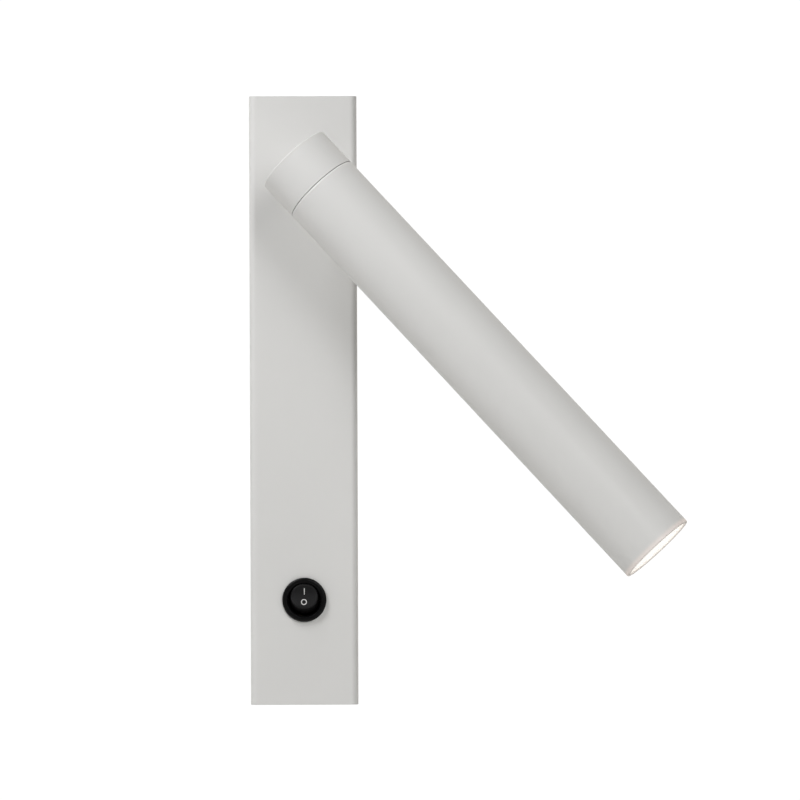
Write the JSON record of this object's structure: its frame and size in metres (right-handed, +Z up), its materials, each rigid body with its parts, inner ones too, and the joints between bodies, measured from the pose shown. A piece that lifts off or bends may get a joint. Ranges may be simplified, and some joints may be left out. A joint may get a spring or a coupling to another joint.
{
  "type": "wall reading lamp",
  "caption": "Bedside wall reading lamp: tall narrow box base with a round rocker switch and a slim tube head on a swivel and tilt hinge, lit through an opal lens.",
  "frame": {"origin": "on the wall plane, midway between the two wall screws and in the middle of the base", "axes": "+Z up the wall, along the base; +Y into the wall, so the lamp faces -Y; +X to the right of someone who faces it"},
  "size_m": [0.2167, 0.1363, 0.311],
  "materials": {
    "white_paint": "fine powder coat, satin",
    "zinc_steel": "zinc plated",
    "bare_aluminium": "machined",
    "brass": "plain",
    "black_plastic": "fine spark texture",
    "mark_white": "printed",
    "white_plastic": "moulded",
    "nylon": "natural nylon",
    "grommet_rubber": "soft",
    "opal_lens": "opal, satin face, lit",
    "reflector_white": "white",
    "board_white": "white solder mask",
    "phosphor": "LED phosphor, lit",
    "wire_brown": "insulation",
    "wire_black": "insulation",
    "wire_blue": "insulation",
    "wire_green_yellow": "green insulation with a yellow stripe",
    "wire_red": "insulation",
    "cable_grey": "soft sheath"
  },
  "bodies": {
    "base": {"wall_bracket": "zinc_steel", "front_cover": "white_paint", "cover_screws": "zinc_steel", "swivel_plate": "zinc_steel", "stop_pin": "zinc_steel", "face_washer": "nylon", "inner_washer": "nylon", "cable_grommet": "grommet_rubber", "terminal_block": "white_plastic", "terminal_inserts": "brass", "terminal_screws": "zinc_steel", "terminal_fixing": "zinc_steel", "earth_ring": "brass", "earth_screw": "zinc_steel", "driver_case": "white_plastic", "driver_screws": "zinc_steel", "switch_housing": "black_plastic", "switch_tabs": "brass", "tab_sleeves": "nylon", "lead_live": "wire_brown", "lead_switched": "wire_black", "lead_neutral": "wire_blue", "lead_earth": "wire_green_yellow", "led_cable_base": "cable_grey"},
    "rocker": {"rocker": "black_plastic", "rocker_marks": "mark_white", "rocker_plunger": "zinc_steel"},
    "contact": {"contact_lever": "brass"},
    "swivel": {"swivel_stem": "white_paint", "stop_washer": "zinc_steel", "wave_washer": "zinc_steel", "swivel_nut": "zinc_steel", "led_cable_stem": "cable_grey"},
    "head": {"rear_cap": "white_paint", "hinge_pin": "zinc_steel", "friction_washers": "nylon", "head_tube": "white_paint", "heatsink": "bare_aluminium", "led_board": "board_white", "leds": "phosphor", "board_screws": "zinc_steel", "reflector": "reflector_white", "diffuser": "opal_lens", "lens_ring": "white_paint", "led_cable_head": "cable_grey", "led_wire_red": "wire_red", "led_wire_black": "wire_black"}
  },
  "joints": [
    {"name": "head_swivel", "type": "hinge", "parent": "base", "child": "swivel", "pos_m": [0, -0.074, 0.1165], "axis": [0, -1, 0], "range_deg": [-212.6, 127.4]},
    {"name": "head_tilt", "type": "hinge", "parent": "swivel", "child": "head", "pos_m": [0, -0.074, 0.1165], "axis": [-0.7361, 0, -0.6769], "range_deg": [-9.4, 80.6]},
    {"name": "switch_rocker", "type": "hinge", "parent": "base", "child": "rocker", "pos_m": [0, -0.0249, -0.1018], "axis": [1, 0, 0], "range_deg": [0, 28]},
    {"name": "contact_tip", "type": "hinge", "parent": "base", "child": "contact", "pos_m": [0, -0.0179, -0.1018], "axis": [1, 0, 0], "range_deg": [-12, 0]}
  ],
  "couplings": [
    {"joint": "contact_tip", "follows": "switch_rocker", "ratio": -0.42857}
  ]
}
